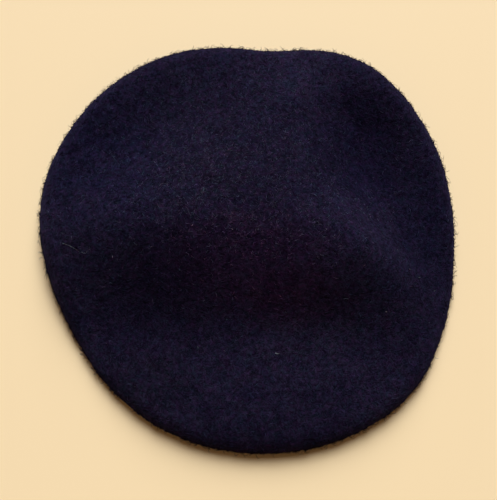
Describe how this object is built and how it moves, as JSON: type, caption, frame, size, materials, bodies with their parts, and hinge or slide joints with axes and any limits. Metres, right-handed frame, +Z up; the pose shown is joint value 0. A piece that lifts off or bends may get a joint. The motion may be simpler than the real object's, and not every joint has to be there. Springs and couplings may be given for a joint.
{
  "type": "beret",
  "caption": "Plain dark navy wool felt beret, one hollow piece, lying with its head opening down, with a soft ridge across the crown and a rolled rim.",
  "frame": {"origin": "on the surface that the beret lies on, under the middle of its outline", "axes": "+Z up, +Y towards the back, where the rim dips, +X to the right seen from the front"},
  "size_m": [0.2744, 0.272, 0.0454],
  "materials": {
    "felt": "matte fulled wool felt, very dark navy, short matted nap"
  },
  "bodies": {
    "root": {"felt_body": "felt"}
  },
  "joints": []
}
